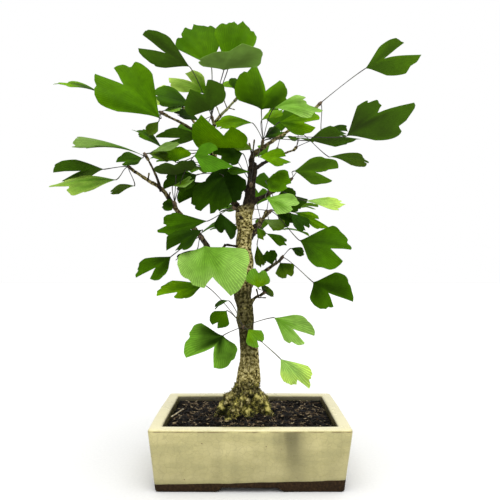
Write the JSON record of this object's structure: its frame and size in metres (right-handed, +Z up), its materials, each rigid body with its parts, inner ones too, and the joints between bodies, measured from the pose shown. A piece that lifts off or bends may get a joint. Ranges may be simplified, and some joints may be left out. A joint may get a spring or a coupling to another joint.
{
  "type": "ginkgo bonsai",
  "caption": "Young ginkgo bonsai with a cut-back trunk and bunches of fan leaves, rooted in dark soil in a rectangular cream-glazed pot.",
  "frame": {"origin": "middle of the whole part, which is the middle of the pot, on the surface the feet stand on", "axes": "+Z up; +X along the pot's long side, to the right as seen from the front; -Y to the front"},
  "size_m": [0.4047, 0.2385, 0.4968],
  "materials": {
    "glazed_clay": "cream to pale khaki crackled glaze over an unglazed brown foot",
    "drain_net": "dark green plastic net",
    "soil": "loose dark bark-and-loam mix with fine dead roots",
    "bark": "rough olive-brown bark, mossy at the foot, darker on the upper leader",
    "leaf": "thin satin green leaf with fan veins, paler beneath"
  },
  "bodies": {
    "root": {"pot": "glazed_clay", "drain_net_left": "drain_net", "drain_net_right": "drain_net", "soil": "soil", "trunk_and_branches": "bark", "leaves_trunk_front": "leaf", "leaves_small_right_twig": "leaf", "leaves_low_right_tip": "leaf", "leaves_low_left_front": "leaf", "leaves_low_left_middle": "leaf", "leaves_low_left_fork": "leaf", "leaves_low_left_tip": "leaf", "leaves_left_low": "leaf", "leaves_left_middle": "leaf", "leaves_left_twig_tip": "leaf", "leaves_left_fork_tip": "leaf", "leaves_left_high": "leaf", "leaves_left_shoot_tip": "leaf", "leaves_top_right": "leaf", "leaves_right_shoot_middle": "leaf", "leaves_right_shoot_tip": "leaf", "leaves_mid_right_tip": "leaf", "leaves_mid_right_inner": "leaf", "leaves_right_twig_tip": "leaf", "leaves_right_twig_foot": "leaf", "leaves_leader_front": "leaf", "leaves_trunk_shoulder": "leaf", "leaves_low_back_middle": "leaf", "leaves_low_back_tip": "leaf", "leaves_left_back_middle": "leaf", "leaves_left_back_tip": "leaf", "leaves_right_back_middle": "leaf", "leaves_right_back_tip": "leaf"}
  },
  "joints": []
}
